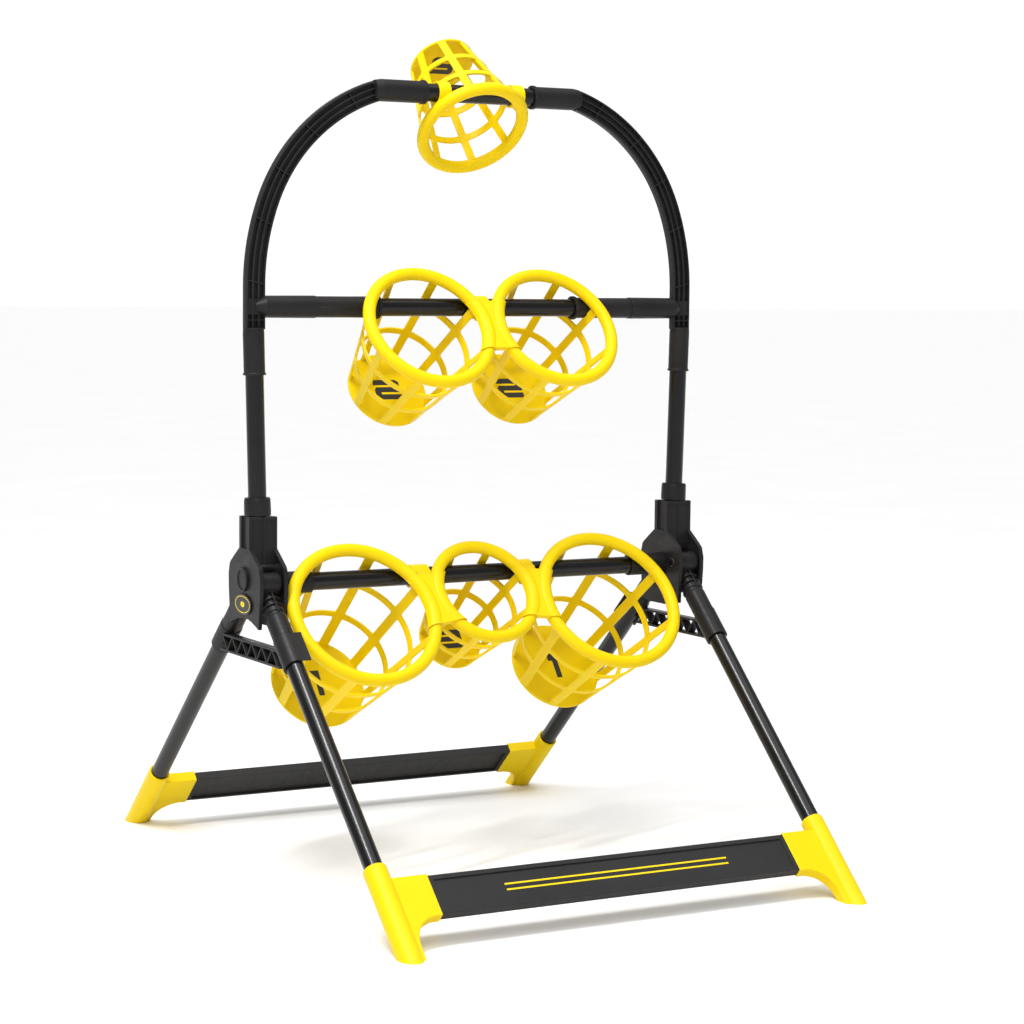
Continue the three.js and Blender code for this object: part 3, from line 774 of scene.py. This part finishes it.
def brace():
    """The left brace: ring on the rear leg, truss, and the clip that snaps on the front leg."""
    front = FRONT @ Matrix.Translation((-LEG_X, 0, 0))
    rear = REAR @ Matrix.Translation((LEG_X, 0, 0))
    low, high = TRUSS_X
    length = (-TRUSS_HALF, TRUSS_HALF)
    truss = block(TRUSS_X, length, (276.1, 278.9), 0.4, None, 0.3)
    adds = [block(TRUSS_X, length, (295.1, 297.9), 0.4, None, 0.3)]
    for i in range(11):
        y = (i - 5.5) * TRUSS_STEP
        a, b = (277.5, 296.5) if i % 2 == 0 else (296.5, 277.5)
        end = y + TRUSS_STEP
        points = [(y - 1.1, a), (y + 1.1, a), (end + 1.1, b), (end - 1.1, b)]
        if a > b:
            points.reverse()
        adds.append(prism(points, low + 0.4, high - 0.4, 0, YZ))
    clear = [(0, 330), (13.4, 330), (13.4, 540), (0, 540)]
    cuts = [at(turn, lathe(clear, 48)) for turn in (front, rear)]
    truss = solid(truss, adds, cuts)
    outline = [(BORE, BRACE_RING_LOW), (BRACE_RING_R, BRACE_RING_LOW),
               (BRACE_RING_R, BRACE_RING_HIGH), (BORE, BRACE_RING_HIGH)]
    ring = lathe(soften(outline, 0.5, 3), 64, rear)
    clip = []
    for i in range(37):
        angle = rad(70 + 5 * i)
        clip.append((BRACE_RING_R * math.cos(angle), -BRACE_RING_R * math.sin(angle)))
    for i in range(37):
        angle = rad(250 - 5 * i)
        clip.append((BORE * math.cos(angle), -BORE * math.sin(angle)))
    tab = soften([(2, -14.0), (17, -14.0), (17, -11.7), (2, -11.7)], [0.2, 1, 1, 0.2], 3)
    return solid(truss, [
        ring,
        prism(clip, BRACE_RING_LOW, BRACE_RING_HIGH, 0.5, front),
        prism(tab, BRACE_RING_LOW, BRACE_RING_HIGH, 0.5, front),
    ])


for word, turn, body in (("left", Matrix.Identity(4), "brace_left_body"),
                         ("right", Matrix.Rotation(math.pi, 4, "Z"), "brace_right_body")):
    make(f"brace_moulding_{word}", at(turn, brace()), BLACK, body,
         [f"brace_{word}"])


# ---------------------------------------------------------------- baskets

def window_edge(p, q, a, b, corner):
    """A point of the rounded rectangle a x b (half sizes) for a point (p, q) on the unit square."""
    def bend(value, half, other):
        x = abs(value) * half
        reach = max(0.0, x - (half - corner)) / corner * rad(45)
        sign = 1 if value >= 0 else -1
        if reach <= 0:
            return sign * x, other
        return (sign * (half - corner + corner * math.sin(reach)),
                other - corner + corner * math.cos(reach))

    if abs(q) >= abs(p):
        x, y = bend(p, a, b)
        return x, y if q > 0 else -y
    y, x = bend(q, b, a)
    return (x if p > 0 else -x), y


CELL = 22.5
WINDOW_CORNER = 1.3
WALL_THICK = 3.0
WALL_BAND = 8.5
ROUND_OVER = 0.8


def basket_wall(size):
    """The tapered wall with three rows of eight rounded windows. Each takes CELL degrees twice."""
    rim, base, depth, rib = size["rim"], size["base"], size["depth"], size["rib"]
    slope = math.atan2(rim - base, depth)
    across, down = 12, 12
    square = [(-1 + 2 * i / across, -1) for i in range(across)]
    square += [(1, -1 + 2 * i / down) for i in range(down)]
    square += [(1 - 2 * i / across, 1) for i in range(across)]
    square += [(-1, 1 - 2 * i / down) for i in range(down)]
    rows = [(0.0, depth / 3, 2.0, WALL_BAND / 2),
            (depth / 3, 2 * depth / 3, WALL_BAND / 2, WALL_BAND / 2),
            (2 * depth / 3, depth, WALL_BAND / 2, 2.4)]
    half = WALL_THICK / 2
    rings = [(ROUND_OVER, half), (0.25, half - 0.25), (0.0, half - ROUND_OVER),
             (0.0, -half + ROUND_OVER), (0.25, -half + 0.25), (ROUND_OVER, -half)]
    bm = bmesh.new()

    def point(angle, level, offset):
        radius = rim - (rim - base) * level / depth + offset * math.cos(slope)
        return (radius * math.cos(angle), radius * math.sin(angle),
                -level - offset * math.sin(slope))

    for cell in range(8):
        middle = rad(2 * CELL * cell)
        for top, bottom, above, below in rows:
            centre = (top + above + bottom - below) / 2
            tall = (bottom - below - top - above) / 2

            def window(p, q, grow, offset):
                radius = rim - (rim - base) * (centre + q * tall) / depth
                wide = radius * rad(CELL) - rib / 2
                x, y = window_edge(p, q, wide + grow, tall + grow, WINDOW_CORNER)
                level = min(max(centre + y, top), bottom)
                local = rim - (rim - base) * level / depth
                return bm.verts.new(point(middle + x / local, level, offset))

            def border(offset):
                return [bm.verts.new(point(middle + rad(CELL) * p,
                                           top + (bottom - top) * (q + 1) / 2, offset))
                        for p, q in square]

            loops = [border(half)]
            loops += [[window(p, q, grow, offset) for p, q in square] for grow, offset in rings]
            loops.append(border(-half))
            count = len(square)
            for a, b in zip(loops, loops[1:]):
                for i in range(count):
                    k = (i + 1) % count
                    bm.faces.new((a[i], a[k], b[k], b[i]))
    bmesh.ops.remove_doubles(bm, verts=bm.verts, dist=0.01)
    open_edges = [e for e in bm.edges if len(e.link_faces) == 1]
    top_edges = [e for e in open_edges if e.verts[0].co.z > -depth / 2]
    low_edges = [e for e in open_edges if e.verts[0].co.z < -depth / 2]
    bmesh.ops.bridge_loops(bm, edges=top_edges)
    bmesh.ops.bridge_loops(bm, edges=low_edges)
    return at(None, bm)


def basket(size, x, ahead, adds=(), cuts=()):
    """A basket in its group's axes: rim, lattice wall and floor, with more added or cut."""
    shift = Matrix.Translation((x, -size["drop"], ahead))
    rim = torus(size["rim"], size["tube"], 112, 28, shift)
    base = size["base"]
    depth = size["depth"]
    profile = [(0, -depth - 1.4), (base + 1.6, -depth - 1.4), (base + 2.4, -depth + 2.2),
               (base - 1.8, -depth + 2.4), (0, -depth + 2.4)]
    plate = lathe(soften(profile, 0.7, 3, False), 96, shift)
    return solid(at(shift, basket_wall(size)), [rim, plate, *adds], cuts)


def group(level, tilt):
    """The axes of the baskets on the bar at a level."""
    return Matrix.Translation((0, 0, level)) @ Matrix.Rotation(rad(90 - tilt), 4, "X")


# Plain block digits, drawn 42 tall.
DIGIT_TALL = 42
NUMBERS = {
    1: [(-9, 21), (6, 21), (6, -21), (-3, -21), (-3, 9), (-10, 9), (-10, 15)],
    2: [(-24, 21), (20, 21), (26, 16), (26, -5.5), (-14, -5.5), (-14, -10), (26, -10),
        (26, -21), (-26, -21), (-26, 0), (-22, 5.5), (14, 5.5), (14, 10), (-28, 10)],
    3: [(-24, 21), (20, 21), (26, 16), (26, -16), (20, -21), (-26, -21), (-26, -10),
        (14, -10), (14, -5.5), (-24, -5.5), (-24, 5.5), (14, 5.5), (14, 10), (-28, 10)],
    5: [(26, 21), (-20, 21), (-26, 16), (-26, -5.5), (14, -5.5), (14, -10), (-26, -10),
        (-26, -21), (20, -21), (26, -16), (26, 0), (22, 5.5), (-14, 5.5), (-14, 10), (28, 10)],
}


def score(number, tall, size, x, ahead, matrix, name, body):
    """A printed score number on the inside of a basket's floor."""
    scale = tall / DIGIT_TALL
    points = soften([(a * scale, b * scale) for a, b in NUMBERS[number]], 1.0, 3)
    shift = Matrix.Translation((x, -size["drop"], ahead - size["depth"]))
    make(name, prism(points, 2.0, 2.6, 0, matrix @ shift), INK, body)


def rim_tube(size, x, radius):
    """A ring along the middle line of a basket's rim."""
    return torus(size["rim"], radius, 112, 24, Matrix.Translation((x, -size["drop"], RIM_AHEAD)))


def plug(size, x, radius):
    """A disc that clears the inside of a basket's mouth."""
    y = -size["drop"]
    return rod(radius, (x, y, RIM_AHEAD - 30), (x, y, RIM_AHEAD + 30), 0, 160)


def bracket(first, x_first, second, x_second, bar_x):
    """The clamp between two rims, as its front and rear halves in the group's axes."""
    a = Vector((x_first, -first["drop"]))
    b = Vector((x_second, -second["drop"]))
    line = (b - a).normalized()
    middle = (a + line * first["rim"] + b - line * second["rim"]) / 2
    across = Matrix.Translation((middle.x, middle.y, RIM_AHEAD)) \
        @ Matrix.Rotation(math.atan2(line.y, line.x), 4, "Z")
    height = 35.0
    outline = soften([(-21, -height), (21, -height), (21, height), (-21, height)], 3, 3)

    def tubes(proud):
        return [rim_tube(first, x_first, first["tube"] + proud),
                rim_tube(second, x_second, second["tube"] + proud)]

    left_tube, right_tube = tubes(2.15)
    sleeve_front = solid(left_tube, [right_tube])
    window = block((-40, 40), (-height, height), (0.15, 10.9), 0, across, 2)
    plate = solid(prism(outline, 0.15, 7.9, 0.8, across), [], [
        plug(first, x_first, first["rim"]), plug(second, x_second, second["rim"]),
    ])
    front = solid(plate, [solid(sleeve_front, within=[window])], tubes(0.4))
    clip = turned([(0, 0), (14.5, 0), (14.5, 24), (0, 24)], (bar_x - 12, 0, 0),
                  (bar_x + 12, 0, 0), 0.8, closed=False)
    neck = block((bar_x - 10, bar_x + 10), (-22, -4), (2, RIM_AHEAD - 2), 1.0)
    rear_outline = soften([(-21, -30), (21, -30), (21, 30), (-21, 30)], 3, 3)
    back = solid(prism(rear_outline, -6.0, -0.15, 1.2, across), [clip, neck], [
        plug(first, x_first, first["rim"] + 2.2), plug(second, x_second, second["rim"] + 2.2),
        *tubes(0.4),
        rod(BORE + 0.1, (bar_x - 40, 0, 0), (bar_x + 40, 0, 0), 0),
    ])
    return front, back


top = group(Z_TOP, TOP_TILT)
eyes = [turned([(0, 0), (14.4, 0), (14.4, 16), (0, 16)], (side * 44, 0, 0), (side * 60, 0, 0), 0.8,
               closed=False) for side in (-1, 1)]
make("top_flip_basket",
     at(top, basket(TOP, 0, TOP_AHEAD, eyes, [rod(BORE + 0.1, (-120, 0, 0), (120, 0, 0), 0)])),
     YELLOW, "top_basket_body", ["basket_top"])
score(5, 27, TOP, 0, TOP_AHEAD, top, "score_number_top", "top_basket_body")

mid = group(Z_MID, MID_TILT)
for word, side in (("left", -1), ("right", 1)):
    x = side * MID_SPREAD
    notch = rod(13.5, (side * 130, 0, 0), (side * 200, 0, 0), 0)
    make(f"mid_basket_{word}", at(mid, basket(MIDDLE, x, RIM_AHEAD, (), [notch])),
         YELLOW, "mid_baskets", [f"basket_mid_{word}"])
    score(2, 29, MIDDLE, x, RIM_AHEAD, mid, f"score_number_mid_{word}", "mid_baskets")
front, back = bracket(MIDDLE, -MID_SPREAD, MIDDLE, MID_SPREAD, 0)
make("mid_bracket_front_half", at(mid, front), YELLOW, "mid_baskets",
     ["bracket_mid_front"])
make("mid_bracket_rear_half", at(mid, back), YELLOW, "mid_baskets",
     ["bracket_mid_rear"])

low = group(Z_LOW, LOW_TILT)
ROW = [
    ("left", LOW_SHIFT - LOW_SPREAD, LARGE, 1, 36),
    ("mid", LOW_SHIFT, SMALL, 3, 27),
    ("right", LOW_SHIFT + LOW_SPREAD, LARGE, 1, 36),
]
for word, x, size, number, tall in ROW:
    make(f"low_basket_{word}", at(low, basket(size, x, RIM_AHEAD)),
         YELLOW, "low_baskets", [f"basket_low_{word}"])
    score(number, tall, size, x, RIM_AHEAD, low, f"score_number_low_{word}", "low_baskets")
for word, first, side in (("left", 0, -1), ("right", 1, 1)):
    front, back = bracket(ROW[first][2], ROW[first][1], ROW[first + 1][2], ROW[first + 1][1],
                          LOW_SHIFT + side * 74)
    make(f"low_bracket_front_half_{word}", at(low, front), YELLOW, "low_baskets",
         [f"bracket_low_{word}_front"])
    make(f"low_bracket_rear_half_{word}", at(low, back), YELLOW, "low_baskets",
         [f"bracket_low_{word}_rear"])


# ---------------------------------------------------------------- floor, light, camera

FLOOR_REACH = 60.0

# The world's strength in the room and towards the backdrop, and the backdrop's fixed direction.
ROOM = 0.42
BACKDROP = 1.05
BACKDROP_SIDE = (0.489, 0.872, 0.0)
BACKDROP_FADE = (0.8, 0.94)

# The camera: the photograph's focal length and width in pixels, place, turn in degrees.
FOCAL_PX = 2599.0
WIDTH_PX = 1024.0
SENSOR_MM = 36.0
CAMERA_PLACE = (-1.557, -2.877, 0.735)
AZIMUTH, ELEVATION, ROLL = -29.25, 5.07, 0.55


def floor_material():
    s = Shader("pale_floor")
    soft = s.noise(3, 3)
    colour = s.blend(s.spread(soft, 0, 1), (0.90, 0.90, 0.90), (0.92, 0.92, 0.92))
    s.link(colour, "Base Color")
    s.value("Roughness", 0.65)
    return s.material


def add_floor():
    bm = bmesh.new()
    corners = [bm.verts.new((x * FLOOR_REACH, y * FLOOR_REACH, 0))
               for x, y in ((-1, -1), (1, -1), (1, 1), (-1, 1))]
    bm.faces.new(corners)
    mesh = bpy.data.meshes.new("floor")
    bm.to_mesh(mesh)
    bm.free()
    mesh.materials.append(floor_material())
    obj = bpy.data.objects.new("floor", mesh)
    bpy.context.scene.collection.objects.link(obj)


def area_light(name, place, target, size, power):
    light = bpy.data.lights.new(name, "AREA")
    light.shape = "RECTANGLE"
    light.size, light.size_y = size
    light.energy = power
    obj = bpy.data.objects.new(name, light)
    obj.location = place
    obj.rotation_euler = (Vector(target) - Vector(place)).to_track_quat("-Z", "Y").to_euler()
    bpy.context.scene.collection.objects.link(obj)


def studio_world():
    """A white backdrop far behind the object, in a dimmer even room."""
    world = bpy.data.worlds.new("studio")
    world.use_nodes = True
    tree = world.node_tree
    background = tree.nodes["Background"]
    direction = tree.nodes.new("ShaderNodeTexCoord")
    facing = tree.nodes.new("ShaderNodeVectorMath")
    facing.operation = "DOT_PRODUCT"
    facing.inputs[1].default_value = BACKDROP_SIDE
    fade = tree.nodes.new("ShaderNodeMapRange")
    fade.inputs["From Min"].default_value, fade.inputs["From Max"].default_value = BACKDROP_FADE
    fade.inputs["To Min"].default_value = ROOM
    fade.inputs["To Max"].default_value = BACKDROP
    tree.links.new(direction.outputs["Generated"], facing.inputs[0])
    tree.links.new(facing.outputs["Value"], fade.inputs["Value"])
    tree.links.new(fade.outputs["Result"], background.inputs["Strength"])
    background.inputs["Color"].default_value = (1.0, 1.0, 1.0, 1.0)
    bpy.context.scene.world = world


add_floor()
studio_world()
area_light("key", (-1.7, -2.7, 2.5), (0, 0, 0.5), (1.3, 1.3), 27)
area_light("strip_high", (-1.02, -0.57, 2.36), (-0.3, -0.25, 0.2), (0.12, 1.0), 34)
sun = bpy.data.lights.new("soft_overhead", "SUN")
sun.energy = 2.1
sun.angle = rad(75)
sun_lamp = bpy.data.objects.new("soft_overhead", sun)
sun_lamp.rotation_euler = (rad(8), rad(-8), 0)
bpy.context.scene.collection.objects.link(sun_lamp)

az, el, roll = rad(AZIMUTH), rad(ELEVATION), rad(ROLL)
back_axis = Vector((math.sin(az) * math.cos(el), -math.cos(az) * math.cos(el), math.sin(el)))
right_axis = Vector((math.cos(az), math.sin(az), 0))
up_axis = back_axis.cross(right_axis)
right_axis, up_axis = (right_axis * math.cos(roll) + up_axis * math.sin(roll),
                       up_axis * math.cos(roll) - right_axis * math.sin(roll))
camera_data = bpy.data.cameras.new("camera")
camera_data.sensor_width = SENSOR_MM
camera_data.lens = FOCAL_PX / WIDTH_PX * SENSOR_MM
camera_data.clip_end = 400
camera = bpy.data.objects.new("camera", camera_data)
turn = Matrix((right_axis, up_axis, back_axis)).transposed().to_4x4()
camera.matrix_world = Matrix.Translation(CAMERA_PLACE) @ turn
bpy.context.scene.collection.objects.link(camera)
bpy.context.scene.camera = camera
bpy.context.scene.view_settings.view_transform = "Standard"
